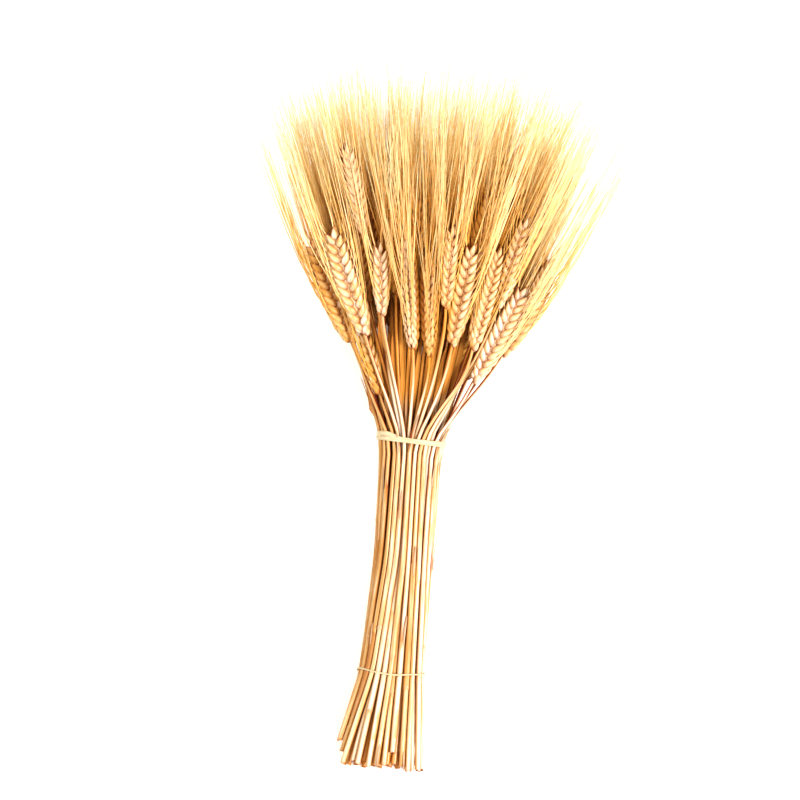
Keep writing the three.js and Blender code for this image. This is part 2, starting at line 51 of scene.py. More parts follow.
# The bunch as the solids have it.
STALKS = 54
SEED = 22
CULM_RADIUS = Sizes(cut=2.05, neck=1.5, ear=1.15)
CUT_ENDS = Sizes(along=-236, stagger=5)  # where the straws are cut, and how unevenly
UNEVEN_CUT = Sizes(chance=0.12, shorter=9)  # a few straws were cut shorter
SPLAYED = Sizes(stalks=2, out=15, shorter=18)  # loose straws at the left of the cut ends
CLEARANCE = 0.32  # least air between two stalks
EAR = Sizes(length=68, width=13.5, thick=10.5, lowest=46, highest=122, air=0.55)
EAR_VARIES = Sizes(length=(0.9, 0.22), width=(0.9, 0.12), thick=(0.92, 0.12))  # least, range
EAR_SCATTER = Sizes(along=5, turn=80)
ROOM = Sizes(below=12, beyond=0.5)  # from where an ear takes room, and the share past its tip
TIE_GAP = 0.3  # a tie stands just clear of the straws
TIE_THICK = 1.1
TIE_FLOOR = TIE_GAP + TIE_THICK  # the straws ride this high over a tie

# At each place along the bunch: the middle, half the width and the height of the ellipse that
# the stalks fill, and the height of its lowest straw's underside.
OUTLINE = np.array([
    [-242, -5.1, 38.3, 15.5, 0],
    [-168, -0.5, 24, 15, TIE_FLOOR],
    [-84, 1.6, 21.6, 13.6, TIE_FLOOR],
    [0, 0.3, 23.4, 12.4, TIE_FLOOR],
    [22, 0, 30, 15.5, TIE_FLOOR],
    [50, 3, 45, 25, 0.5],
    [82, 7, 66, 35, 0.25],
    [114, 8, 84, 42, 0.25],
    [146, 7, 98, 47, 0.25],
    [178, 7, 110, 51, 0.25],
    [210, 7, 122, 54, 0.25],
])
LEVELS, MIDDLE, WIDE, HIGH, FLOOR = OUTLINE.T
LAST = len(LEVELS) - 1
BETWEEN_TIES, ABOVE_NECK = 2, 5  # two of the levels
TIED = LEVELS <= 0  # the levels that the ties hold together
SAG = 0.72  # the ellipse's middle over the table, so that the bunch lies flat on it
CENTRE = np.stack([MIDDLE, FLOOR + SAG * HIGH], 1)

# How the stalks are dealt out over a disc of radius 1 and evened out. A top ear takes only the
# held share of a push, up or down. Tall is the share of the ellipse's height that they fill.
SEAT_ASPECT = 2.2  # width over height of that ellipse
DEAL = Sizes(reach=0.95, edge=0.96, high=0.92, low=0.08, apart=1.75, passes=120, push=0.1,
             held=0.2, tall=0.9)
SEAT_INSET = Sizes(top=6, others=5)  # that a seat keeps from the outline

# How the stalks settle: the share of each fault that one pass mends, of which the last ones
# only push. Top ears are drawn to their places from draw_from to draw_to, in ears' lengths.
SETTLE = Sizes(passes=900, easing=600, push=0.25, least=0.5, draw=0.3, draw_from=-0.45,
               draw_to=1.45, hold_tied=0.4, hold_loose=0.1, ease_tied=0.03, ease_loose=0.12,
               stiff=0.3, stiff_last=0.05)

# The ears that lie on top: base across and along, tip across and along, width, turn in degrees.
TOP_EARS = np.array([
    [-47.9, 65.5, -84.6, 136.2, 16, 10],
    [-39.1, 72.7, -68, 145.5, 17.5, -8],
    [-22.6, 30, -39.7, 73, 11.5, 25],
    [-28.5, 88, -32.6, 136, 12, 0],
    [-42.6, 143, -63.5, 205, 13, 20],
    [-3, 64, -14.5, 144, 13.5, 70],
    [10.2, 61.5, 1.5, 134.4, 13, -65],
    [18, 96, 13.5, 152, 12, 15],
    [24.7, 69.9, 33, 142, 14.5, -12],
    [41, 68, 50.5, 142, 13.5, 30],
    [44, 45.4, 72.4, 115, 15.5, -5],
    [61.2, 66, 91.6, 137, 15.5, 8],
    [57, 100, 70, 163, 13, -20],
])
TOPS = len(TOP_EARS)
TOP_EAR_WIDTH = 14.5  # the width at which a top ear has the thickness of EAR


def seeded_random(seed):
    """The seeded generator of numbers from 0 to 1 that the solids use."""
    mask = 0xFFFFFFFF
    state = seed

    def draw():
        nonlocal state
        state = (state + 0x6D2B79F5) & mask
        t = ((state ^ (state >> 15)) * (state | 1)) & mask
        t ^= (t + (t ^ (t >> 7)) * (t | 61)) & mask
        return (t ^ (t >> 14)) / 4294967296

    return draw


def read_at(values, along):
    """Values given at LEVELS, one row a stalk, read at places along each stalk."""
    along = np.asarray(along, float)
    k = np.searchsorted(LEVELS[1:LAST], along)
    t = (along - LEVELS[k]) / (LEVELS[k + 1] - LEVELS[k])
    t = t.reshape(t.shape + (1,) * (values.ndim - 2))
    row = np.arange(len(values)).reshape(-1, *(1,) * (along.ndim - 1))
    return values[row, k] * (1 - t) + values[row, k + 1] * t


def culm_radius(ear_base, along):
    """A straw thins from its cut end to its ear."""
    r = CULM_RADIUS
    below = r.neck + (r.cut - r.neck) * along / CUT_ENDS.along
    above = r.neck + (r.ear - r.neck) * np.clip(along / ear_base, 0, 1)
    return np.where(along < 0, below, above)


def ear_fullness(share):
    """How full an ear is at a share of its length: 1 below its middle, less at its ends."""
    return np.sin(np.pi * (0.2 + 0.62 * np.clip(share, 0, 1))) ** 0.9


def deal_seats():
    """Deals the stalks out over a disc: the top ears high, the others in a spiral below them."""
    seats = []
    for ear in TOP_EARS:
        along = (ear[1] + ear[3]) / 2
        across = (ear[0] + ear[2]) / 2
        middle, wide = (read_at(values[None], [along])[0] for values in (MIDDLE, WIDE))
        p = (across - middle) / (wide - SEAT_INSET.top)
        p = min(max(p, -DEAL.reach), DEAL.reach)
        seats.append([p, DEAL.high * math.sqrt(1 - p * p)])
    others = STALKS - TOPS
    for k in range(others):
        reach = DEAL.reach * math.sqrt((k + 0.5) / others)
        angle = k * math.pi * (3 - math.sqrt(5))
        seats.append([reach * math.cos(angle), reach * math.sin(angle) - DEAL.low])
    apart = DEAL.apart * math.sqrt(SEAT_ASPECT / STALKS)
    for _ in range(DEAL.passes):
        for i, a in enumerate(seats):
            held = i < TOPS
            for b in seats:
                dx = (a[0] - b[0]) * SEAT_ASPECT
                dz = a[1] - b[1]
                gap = math.hypot(dx, dz)
                if gap == 0 or gap >= apart:
                    continue
                push = DEAL.push * (apart - gap) / gap
                if not held:
                    a[0] += dx * push / SEAT_ASPECT
                a[1] += dz * push * (DEAL.held if held else 1)
            out = max(1, math.hypot(*a) / DEAL.edge)
            a[1] /= out
            if not held:
                a[0] /= out
    return np.array(seats)


def plan_stalks():
    """Each stalk's ear, cut end and path, which is a point (across, up) at each level."""
    random = seeded_random(SEED)

    def scatter(size, least, extent):
        return size * (least + extent * random())

    seats = deal_seats()
    leftmost = np.sort(seats[:, 0])[SPLAYED.stalks - 1]
    rows = []
    for index, (p, q) in enumerate(seats):
        length = scatter(EAR.length, *EAR_VARIES.length)
        spread = index * 0.618034 % 1
        base = EAR.lowest + (EAR.highest - EAR.lowest) * spread
        base += EAR_SCATTER.along * (random() - 0.5)
        splayed = float(p <= leftmost)
        cut = CUT_ENDS.along + CUT_ENDS.stagger * (random() - 0.5)
        shorter = UNEVEN_CUT.shorter if random() < UNEVEN_CUT.chance else 0
        cut += shorter + splayed * SPLAYED.shorter
        if index < TOPS:
            _, base, _, tip, width, turn = TOP_EARS[index]
            thick = EAR.thick * width / TOP_EAR_WIDTH
        else:
            tip = base + length
            width = scatter(EAR.width, *EAR_VARIES.width)
            thick = scatter(EAR.thick, *EAR_VARIES.thick)
            turn = EAR_SCATTER.turn * (random() - 0.5)
        across = MIDDLE + (WIDE - SEAT_INSET.others) * p
        across[0] -= splayed * SPLAYED.out
        uneven = np.array([random() - 0.5 for _ in LEVELS])
        up = FLOOR + HIGH * (SAG + DEAL.tall * q) + uneven
        rows.append((base, tip, width, thick, math.radians(turn), cut, np.stack([across, up], 1)))
    names = ("base", "tip", "width", "thick", "turn", "cut", "path")
    return Sizes(**{name: np.array(values) for name, values in zip(names, zip(*rows))})


def room_of(stalks):
    """Half the room (across, up) that each stalk takes at each level."""
    base, tip = stalks.base[:, None], stalks.tip[:, None]
    share = (LEVELS - base) / (tip - base)
    full = np.where(share > 1, ROOM.beyond, ear_fullness(share))
    slack = CLEARANCE / 2
    wide = stalks.width[:, None] / 2 * full + slack + EAR.air
    thick = stalks.thick[:, None] / 2 * full + slack + EAR.air
    c, s = np.cos(stalks.turn)[:, None], np.sin(stalks.turn)[:, None]
    bare = culm_radius(base, LEVELS) + slack
    below = LEVELS < base - ROOM.below
    across = np.where(below, bare, np.hypot(wide * c, thick * s))
    up = np.where(below, bare, np.hypot(wide * s, thick * c))
    return np.stack([across, up], 2)


def settle(stalks):
    """Pushes the stalks apart wherever they would meet and keeps them in the outline."""
    path = stalks.path
    rooms = room_of(stalks)
    one, other = np.triu_indices(STALKS, 1)
    pairs = np.arange(len(one))
    sign = np.zeros((STALKS, len(one)))
    sign[one, pairs] = 1
    sign[other, pairs] = -1
    lower = np.maximum(np.arange(LAST + 1) - 1, 0)
    upper = np.minimum(np.arange(LAST + 1) + 1, LAST)
    run = (LEVELS[upper] - LEVELS[lower])[:, None]
    between = ((LEVELS[1:-1] - LEVELS[:-2]) / (LEVELS[2:] - LEVELS[:-2]))[:, None]
    tall = np.maximum(HIGH - rooms[:, :, 1], SETTLE.least * HIGH)
    reach = np.stack([WIDE - rooms[:, :, 0], tall], 2)
    base, tip = TOP_EARS[:, 1:2], TOP_EARS[:, 3:4]
    share = (LEVELS - base) / (tip - base)
    target = TOP_EARS[:, 0:1] * (1 - share) + TOP_EARS[:, 2:3] * share
    drawn = SETTLE.draw * ((share > SETTLE.draw_from) & (share < SETTLE.draw_to))
    along_ear = (LEVELS - stalks.base[:, None]) / (stalks.tip - stalks.base)[:, None]
    in_ear = (along_ear >= 0) & (along_ear <= 1)
    ease = np.where(TIED, SETTLE.ease_tied, SETTLE.ease_loose)[1:-1, None]
    for step in range(SETTLE.passes):
        easing = step < SETTLE.easing
        # A stalk that leans takes more room in a level plane.
        leaning = rooms * np.hypot(1, (path[:, upper] - path[:, lower]) / run)
        room = leaning[one] + leaning[other]
        apart = (path[one] - path[other]) / room
        start = apart[:, :-1]
        change = apart[:, 1:] - start
        t = -(start * change).sum(2) / ((change**2).sum(2) + TINY)
        t = np.clip(t, 0, 1)[:, :, None]
        nearest = start + t * change
        gap = np.hypot(nearest[:, :, 0], nearest[:, :, 1])[:, :, None] + TINY
        push = np.where(gap < 1, SETTLE.push * (1 - gap) / gap, 0) * nearest
        low = ((1 - t) * push * room[:, :-1]).reshape(len(one), -1)
        high = (t * push * room[:, 1:]).reshape(len(one), -1)
        before = path.copy()
        path[:, :-1] += (sign @ low).reshape(STALKS, LAST, 2)
        path[:, 1:] += (sign @ high).reshape(STALKS, LAST, 2)
        out = np.hypot(*np.moveaxis((path - CENTRE) / reach, 2, 0))
        hold = np.where(TIED, SETTLE.hold_tied, SETTLE.hold_loose if easing else 0)
        pull = np.where(out > 1, hold * (1 - 1 / np.maximum(out, 1)), 0)
        path -= pull[:, :, None] * (path - CENTRE)
        if easing:
            path[:TOPS, :, 0] += drawn * (target - path[:TOPS, :, 0])
            line = before[:, :-2] * (1 - between) + before[:, 2:] * between
            path[:, 1:-1] += ease * (line - before[:, 1:-1])
        path[:, :, 1] = np.maximum(path[:, :, 1], FLOOR + rooms[:, :, 1])
        ends = [read_at(path, at[:, None]) for at in (stalks.base, stalks.tip)]
        line = ends[0] + (ends[1] - ends[0]) * along_ear[:, :, None]
        stiff = SETTLE.stiff if easing else SETTLE.stiff_last
        path += stiff * in_ear[:, :, None] * (line - path)
    return path


# Painted shade: further out than this share of the way from its middle the bunch has none, and the
# gold of the painted shade comes in over the next share. A side that turns away from the bunch's
# outside gets some too.
PAINTED_SHADE = Sizes(bleached=0.88, fades=0.22, turned=0.7, steep=2.5, start=0.25)
GAP_SHADE_FALL = Sizes(most=1.05, steep=1.9)  # the same for the painted shade, in brown, between two straws
LOWEST = 0.05  # nothing of a stalk comes nearer to the table
CRISP = 52  # degrees: sharper edges are not smoothed
BEND = Sizes(reach=11, places=9)  # a straw's bend is eased over this length to each side

# The order of the finishes in a stalk's material slots.
STRAW, LEAF, HUSK, BRISTLE = range(4)


def new_object(name, data):
    made = bpy.data.objects.new(name, data)
    bpy.context.scene.collection.objects.link(made)
    return made


def unit(v):
    return v / np.linalg.norm(v, axis=-1, keepdims=True)


def round_angles(sides):
    """The directions of a ring's points from its middle."""
    return np.arange(sides) / sides * 2 * np.pi


def eased_path(path, along):
    """The middle of one stalk at each place along it, with its bends eased: (across, up)."""
    steps = np.linspace(-BEND.reach, BEND.reach, BEND.places)
    return np.mean([read_at(path[None], (along + step)[None])[0] for step in steps], 0)


def painted_shade(rings):
    """The painted shade at the points of rings, from 0 on what faces out of the bunch to 1 well
    inside, and how far each point faces out, from 1 to -1."""
    middle, wide, high, floor = (
        np.interp(rings[..., 1], LEVELS, values) for values in (MIDDLE, WIDE, HIGH, FLOOR)
    )
    across = (rings[..., 0] - middle) / wide
    up = (rings[..., 2] - floor - SAG * high) / high
    out = np.linalg.norm(np.stack([across, up], -1), axis=-1)
    facing = rings - rings.mean(2, keepdims=True)
    facing /= np.linalg.norm(facing, axis=-1, keepdims=True) + TINY
    open_ = facing[..., 0] * across / wide + facing[..., 2] * up / high
    open_ /= np.hypot(across / wide, up / high) + TINY
    deep = np.clip((PAINTED_SHADE.bleached - out) / PAINTED_SHADE.fades, 0, 1)
    turned = np.clip(PAINTED_SHADE.steep * (1 - open_) - PAINTED_SHADE.start, 0, 1)
    return np.maximum(deep, PAINTED_SHADE.turned * turned), open_


def tube_faces(tubes, rows, sides):
    """The faces of tubes that end in one point each: their squares, then their end fans."""
    stride = (rows - 2) * sides + 2
    first = (np.arange(tubes) * stride)[:, None, None]
    r, c = np.meshgrid(np.arange(rows - 3), np.arange(sides), indexing="ij")
    here, after = 1 + r * sides + c, 1 + r * sides + (c + 1) % sides
    squares = np.stack([here, here + sides, after + sides, after], 2).reshape(1, -1, 4) + first
    here, after = 1 + np.arange(sides), 1 + (np.arange(sides) + 1) % sides
    far = (rows - 3) * sides
    foot = np.stack([0 * here, here, after], 1)
    head = np.stack([far + here, 0 * here + stride - 1, far + after], 1)
    fans = np.stack([foot, head]) + first[:, None]
    return squares.reshape(-1, 4), fans.reshape(-1, 3)


def corner_grain(*corners):
    """The grain at the corners of faces, each corner given as (round the tube, along it)."""
    return np.stack([np.stack(np.broadcast_arrays(*c), -1) for c in corners], -2)


class Shells:
    """Closed shells gathered into one mesh. The grain is measured on every face in millimetres,
    round a shell and along it. Tone is a shell's own shade, which also holds painted light that
    pales the right of the bunch. Mark is 1 where it is brown: the part's own browning, and also
    painted shade between parts. Deep is 1 where painted shade makes it gold."""

    def __init__(self):
        self.points, self.faces, self.grain, self.finish = [], [], [], []
        self.layers = {"tone": [], "mark": [], "deep": []}
        self.count = 0

    def _gather(self, points, faces, grain, finish, layers):
        self.points.append(points)
        for corners, runs, kinds in zip(faces, grain, finish):
            self.faces += (corners + self.count).tolist()
            self.grain.append(runs.reshape(-1))
            self.finish.append(kinds)
        for layer, values in zip(self.layers.values(), layers):
            layer.append(values)
        self.count += len(points)

    def add(self, rings, along, girth, finish, tone, mark, painted_gap_shade=0):
        """Adds tubes whose first and last rings are each drawn to one point.
        Rings is (tubes, rows, sides, 3), along is (tubes, rows) and mark is for each point.
        The last is how much painted shade browns a tube on the sides that it turns to its
        neighbours."""
        tubes, rows, sides, _ = rings.shape
        # Painted shade: gold deep in the bunch and on sides turned from its outside, brown on the
        # sides turned to the neighbours.
        deep, open_ = painted_shade(rings)
        between = np.clip(GAP_SHADE_FALL.most - GAP_SHADE_FALL.steep * open_, 0, 1)
        mark = np.maximum(mark, painted_gap_shade * between)
        rings[..., 2] = np.maximum(rings[..., 2], LOWEST)

        def at_points(values):
            inner = values[:, 1:-1].reshape((tubes, -1) + values.shape[3:])
            points = np.concatenate([values[:, :1, 0], inner, values[:, -1:, 0]], 1)
            return points.reshape((-1,) + values.shape[3:])

        u = np.arange(sides + 1) / sides * np.reshape(girth, (-1, 1))
        left, right = u[:, None, :-1], u[:, None, 1:]
        low, high = along[:, 1:-2, None], along[:, 2:-1, None]
        grain = corner_grain((left, low), (left, high), (right, high), (right, low))
        left, right = u[:, :-1], u[:, 1:]
        first, second, before_last, last = (along[:, n, None] for n in (0, 1, -2, -1))
        fan_grain = np.stack([
            corner_grain((left, first), (left, second), (right, second)),
            corner_grain((left, before_last), (left, last), (right, before_last)),
        ], 1)
        kinds = np.broadcast_to(np.reshape(finish, (-1, 1)), (tubes, rows - 1, sides))
        kinds = [kinds[:, 1:-1].reshape(-1), kinds[:, [0, -1]].reshape(-1)]
        points = at_points(rings)
        shades = np.repeat(np.broadcast_to(tone, (tubes,)), len(points) // tubes)
        layers = [shades, at_points(mark), at_points(deep)]
        self._gather(points, tube_faces(tubes, rows, sides), [grain, fan_grain], kinds, layers)

    def add_loop(self, rings, along, girth, finish):
        """Adds one tube that closes on itself. Rings is (rows, sides, 3), along is (rows + 1)."""
        rows, sides, _ = rings.shape
        r, c = np.meshgrid(np.arange(rows), np.arange(sides), indexing="ij")
        here, beyond, after = r * sides, (r + 1) % rows * sides, (c + 1) % sides
        squares = np.stack([here + c, here + after, beyond + after, beyond + c], 2)
        u = np.arange(sides + 1) / sides * girth
        left, right, low, high = u[c], u[c + 1], along[r], along[r + 1]
        grain = corner_grain((left, low), (right, low), (right, high), (left, high))
        plain = np.zeros(rows * sides)
        kinds = np.full(rows * sides, finish)
        self._gather(rings.reshape(-1, 3), [squares.reshape(-1, 4)], [grain], [kinds], [plain] * 3)

    def piece(self, name, materials):
        """Makes the shells a Blender object that replaces the solid of the same name."""
        mesh = bpy.data.meshes.new(name)
        mesh.from_pydata(np.concatenate(self.points) * MM, [], self.faces)
        mesh.uv_layers.new(name="grain").data.foreach_set("uv", np.concatenate(self.grain))
        for title, values in self.layers.items():
            layer = mesh.attributes.new(title, "FLOAT", "POINT")
            layer.data.foreach_set("value", np.concatenate(values).astype(np.float32))
        for material in materials:
            mesh.materials.append(material)
        mesh.polygons.foreach_set("material_index", np.concatenate(self.finish).astype(np.int32))
        mesh.shade_smooth()
        mesh.set_sharp_from_angle(angle=math.radians(CRISP))
        mesh.validate()
        made = new_object(name + "_dressed", mesh)
        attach(made, "root")
        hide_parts(name)


# A straw: its rings and sides, how uneven and how much flatter it is at most, as shares of its
# radius, and the share of the ear that hides its top.
STEM = Sizes(sides=12, apart=9, from_cut=1.5, from_top=2, uneven=0.025, flatter=0.1, in_ear=0.1)
WALL = 0.45

# The rings of a cut end, from the floor of its hollow over its lip to its skin: how far up the
# straw each lies, how far in from the skin it is, and how brown it and the next ring are.
CUT_AT = np.array([7, 7, 0.3, 0, 0.35])
CUT_IN = np.array([0, WALL, WALL, 0.12, 0])
CUT_BROWN = np.array([0.8, 0.8, 0.8, 0.5, 0.35, 0.15])
CUT_EDGE = {"askew": (0.2, 1.0), "ragged": (0, 0.35)}

# The joint: where it lies, how it swells and browns the straw, and its rings.
JOINT = Sizes(below_ear=(190, 320), above_cut=10, swell=0.42, long=1.5, brown=0.3, stain=1.1)
JOINT_AT = np.array([-4, -2, -1, -0.3, 0.5, 1.2, 2.2, 4])

# The leaf sheath round the straw, from just over the joint or the cut, and the rings of its
# torn end. Worn is how brown the sheaths of the darker stalks are, and from which tone.
SHEATH = Sizes(thick=0.24, seam=0.16, long=(85, 165), below_ear=40, over_joint=1.2,
               over_cut=(-1, 30))
TORN_AT = np.array([0, 0.05, 9])
TORN_EDGE = {"askew": (2, 5), "ragged": (-1.6, 1.6)}
WORN = Sizes(brown=0.7, start=0.5)
# Painted shade between the straws: how strong it is at the neck, and how much weaker at the cut
# ends.
GAP_SHADE_ALONG = Sizes(neck=1.5, less_at_cut=1.2)


def uneven_edge(angle, random, askew, ragged):
    """How far along the straw each side of a cut or torn edge lies."""
    edge = random.uniform(*askew) * np.cos(angle - random.uniform(0, 6.3))
    return edge + random.uniform(*ragged, len(angle))


def add_straw(shells, stalk, random):
    """The straw: hollow at its cut end, with a joint, and above it a sheath, whose end it
    returns."""
    cut, base = stalk.cut, stalk.base
    top = base + STEM.in_ear * (stalk.tip - base)
    joint = base - random.uniform(*JOINT.below_ear)
    jointed = joint > cut + JOINT.above_cut
    sheath_top = (joint if jointed else cut) + random.uniform(*SHEATH.long)
    sheath_top = min(sheath_top, base - SHEATH.below_ear)
    rows = np.arange(cut + STEM.from_cut, top - STEM.from_top, STEM.apart)
    rows = rows[np.abs(rows - sheath_top) > TORN_AT[-1]]
    if jointed:
        rows = rows[np.abs(rows - joint) > JOINT_AT[-1]]
        rows = np.append(rows, joint + JOINT_AT)
    rows = np.sort(rows)
    below = rows < sheath_top
    torn = sheath_top + TORN_AT
    rows = np.concatenate([cut + CUT_AT, rows[below], torn, rows[~below], [top, top]])
    ring = np.arange(len(rows))
    skin = len(CUT_AT) - 1
    edge = len(CUT_AT) + below.sum()
    angle = round_angles(STEM.sides)
    y = np.repeat(rows[:, None], STEM.sides, 1)
    y[2 : skin + 1] += uneven_edge(angle, random, **CUT_EDGE)
    y[edge : edge + 2] += uneven_edge(angle, random, **TORN_EDGE)
    uneven = random.uniform(-STEM.uneven, STEM.uneven, STEM.sides)
    radius = culm_radius(base, y) * (1 + uneven)
    start = joint + SHEATH.over_joint if jointed else cut + random.uniform(*SHEATH.over_cut)
    sheathed = (rows > start) & (ring <= edge) & (ring >= skin)
    seam = np.zeros(STEM.sides)
    seam[random.integers(STEM.sides)] = SHEATH.seam
    radius = radius + sheathed[:, None] * (SHEATH.thick + seam)
    mark = np.zeros(len(rows))
    if jointed:
        from_joint = (rows - joint) / JOINT.long
        radius += JOINT.swell * np.exp(-(from_joint**2))[:, None]
        mark = JOINT.brown * np.exp(-((from_joint / JOINT.stain) ** 2))
    mark += sheathed * WORN.brown * np.clip(stalk.tone - WORN.start, 0, 1)
    mark[: len(CUT_BROWN)] = CUT_BROWN
    radius[: len(CUT_IN)] -= CUT_IN[:, None]
    radius[[0, -1]] = 0
    y[0], y[-1] = rows[0], rows[-1]
    middle = eased_path(stalk.path, rows)
    flat = 1 - random.uniform(0, STEM.flatter)
    rings = np.stack([
        middle[:, :1] + radius * np.cos(angle),
        y,
        middle[:, 1:] + flat * radius * np.sin(angle),
    ], 2)
    finish = np.where(sheathed[:-1] | sheathed[1:], LEAF, STRAW)
    finish[edge:] = STRAW
    girth = 2 * math.pi * CULM_RADIUS.neck
    # Painted shade between the straws, strongest at the neck and weaker towards the cut ends.
    down = np.clip(rows[:, None] / CUT_ENDS.along, 0, 1)
    painted_gap_shade = GAP_SHADE_ALONG.neck - GAP_SHADE_ALONG.less_at_cut * down
    shells.add(rings[None], rows[None], [girth], finish, stalk.tone, mark[:, None], painted_gap_shade)
    return sheath_top


# Torn strips of dried leaf: blades that lie along some stalks just above the neck, and scraps
# of sheath that stand off the outer ones. The blades fill the gaps beside the lowest straws there,
# where the table would show, and carry the painted shade of the bunch's inside. Pairs are the
# least and the most.
STRIP = Sizes(sides=8, thick=0.32, girth=12.0)
BLADE = Sizes(rows=17, start=(4, 12), end=(62, 108), wide=(2.6, 3.8), beside=0.3, lower=0.6,
              lowest=0.5, ripple=0.4, ripples=9, curl=0.9, brown=0.3)
SCRAPS = Sizes(outside=0.75, rows=11, back=9, past=(7, 20), wide=(1.3, 2.3), stand=(0.8, 1.6),
               turn=0.5, curl=-0.3, brown=(0.1, 0.35))
CUT_SCRAP = Sizes(chance=0.35, below=(1, 3), above=(10, 20))


def strip_width(widest, share):
    """The width of a torn strip at shares of its length: it narrows to a point at both ends."""
    wide = widest * np.sin(np.pi * share) ** 0.5
    wide[[0, -1]] = 0
    return wide


def add_strip(shells, middle, along, facing, wide, curl, tone, mark):
    """A torn strip of dried leaf. Curl lifts its two edges."""
    angle = round_angles(STRIP.sides)
    flat = wide[:, None] / 2 * np.cos(angle)
    raised = curl * np.cos(angle) ** 2 + STRIP.thick / 2 * np.sin(angle)
    raised = raised * np.clip(wide, 0, 1)[:, None]
    x = middle[:, :1] + flat * facing[1] + raised * facing[0]
    z = middle[:, 1:] - flat * facing[0] + raised * facing[1]
    rings = np.stack([x, np.repeat(along[:, None], STRIP.sides, 1), z], 2)
    shells.add(rings[None], along[None], [STRIP.girth], LEAF, tone, mark)


def add_blades(shells, stalk, random):
    """Two dried leaf blades, torn short, that lie along a stalk's sides."""
    share = np.linspace(0, 1, BLADE.rows)
    for side in (-1, 1):
        start, end = random.uniform(*BLADE.start), random.uniform(*BLADE.end)
        along = np.linspace(start, end, BLADE.rows)
        wide = strip_width(random.uniform(*BLADE.wide), share)
        beside = culm_radius(stalk.base, along) + BLADE.beside + wide.max() / 2
        middle = eased_path(stalk.path, along)
        middle[:, 0] += side * beside
        middle[:, 1] = np.maximum(middle[:, 1] - BLADE.lower, BLADE.lowest)
        middle[:, 1] += BLADE.ripple * np.sin(BLADE.ripples * share + side)
        mark = BLADE.brown * share[:, None]
        tone = stalk.tone + side
        add_strip(shells, middle, along, (0, 1), wide, BLADE.curl, tone, mark)


def add_scraps(shells, stalk, sheath_top, random):
    """Torn ends of the sheath that stand off an outer straw, at its top and at the cut."""
    cut = stalk.cut
    share = np.linspace(0, 1, SCRAPS.rows)
    half_way = SCRAPS.rows // 2
    end = sheath_top + random.uniform(*SCRAPS.past)
    spans = [(sheath_top - SCRAPS.back, end, share)]
    if random.random() < CUT_SCRAP.chance:
        start, end = random.uniform(*CUT_SCRAP.below), random.uniform(*CUT_SCRAP.above)
        spans.append((cut - start, cut + end, 1 - share))
    for start, end, loose in spans:
        along = np.linspace(start, end, SCRAPS.rows)
        path = eased_path(stalk.path, along)
        away = path[half_way] - [np.interp(along[half_way], LEVELS, v) for v in CENTRE.T]
        turn = math.atan2(away[1], away[0]) + random.uniform(-SCRAPS.turn, SCRAPS.turn)
        facing = np.array([math.cos(turn), math.sin(turn)])
        stand = SHEATH.thick + STRIP.thick + random.uniform(*SCRAPS.stand) * loose**2
        reach = culm_radius(stalk.base, along) + stand
        wide = strip_width(random.uniform(*SCRAPS.wide), share)
        middle = path + reach[:, None] * facing
        mark = SCRAPS.brown[0] + SCRAPS.brown[1] * loose[:, None]
        tone = stalk.tone + start
        add_strip(shells, middle, along, facing, wide, SCRAPS.curl, tone, mark)


# How wide, how deep and how brown a husk is at shares of its length: the brown at its base is
# painted shade where the husk below covers it, and that at its tip is its own. Then the keel down
# its back, its flatter inside, its outward bow, and the painted shade, in brown, along its edges.
HUSK_AT = np.array([0, 0.08, 0.26, 0.46, 0.66, 0.84, 0.95, 1])
HUSK_WIDE = np.array([0, 0.5, 0.94, 1, 0.76, 0.4, 0.14, 0])
HUSK_DEEP = np.array([0, 0.45, 0.92, 1, 0.82, 0.46, 0.2, 0])
HUSK_BROWN_AND_SHADE = np.array([1, 0.8, 0.3, 0.05, 0, 0, 0.25, 0.5])
PLUMP = Sizes(sides=8, keel=1.14, inside=0.35, bow=0.3, edge=0.1, browned=0.75)


def add_husks(shells, start, tip, outward, width, depth, tone):
    """Plump pointed husks."""
    sides = PLUMP.sides
    angle = round_angles(sides)
    reach = np.where(np.sin(angle) > 0, 1, PLUMP.inside) * np.sin(angle)
    reach[sides // 4] = PLUMP.keel
    x = HUSK_WIDE[:, None] * np.cos(angle)
    z = HUSK_DEEP[:, None] * reach + PLUMP.bow * np.sin(np.pi * HUSK_AT)[:, None]
    length = np.linalg.norm(tip - start, axis=1)
    ahead = unit(tip - start)
    out = unit(outward - (outward * ahead).sum(-1, keepdims=True) * ahead)
    side = np.cross(ahead, out)
    rings = (
        start[:, None, None]
        + (x[None] * width[:, None, None] / 2)[..., None] * side[:, None, None]
        + (HUSK_AT * length[:, None])[:, :, None, None] * ahead[:, None, None]
        + (z[None] * depth[:, None, None])[..., None] * out[:, None, None]
    )
    # Painted shade, in brown, along a husk's sides and inside, where its neighbours meet it.
    edge = np.where(np.sin(angle) > PLUMP.edge, 0, PLUMP.browned)
    mark = np.maximum(HUSK_BROWN_AND_SHADE[:, None], edge)
    shells.add(rings, HUSK_AT * length[:, None], 2 * width, HUSK, tone, mark)


# An awn: its radius, how far its husk hides it, the share of its length in which it turns to its
# own aim, and how far it bows, stands up and comes down.
AWN = Sizes(sides=3, root=0.42, end=0.14, thins=0.8, inside=0.8, turns=0.07, bow=1.6, highest=125,
            over_table=0.2)
AWN_AT = np.array([0, 0.02, 0.07, 0.16, 0.32, 0.52, 0.76, 0.97, 1])

# Which way awns point, as slopes: how far they open and tilt, the cone in degrees of their
# scatter, how they follow an ear that lies aside, per 100 mm, and the steepest that they lean.
AIM = Sizes(middle=0.11, outer=0.05, opens=(0.45, 0.6), tilt=0.03, cone=9, follows=0.1,
            follow_from=-0.3, left=0.44, right=0.47, loose=0.12)

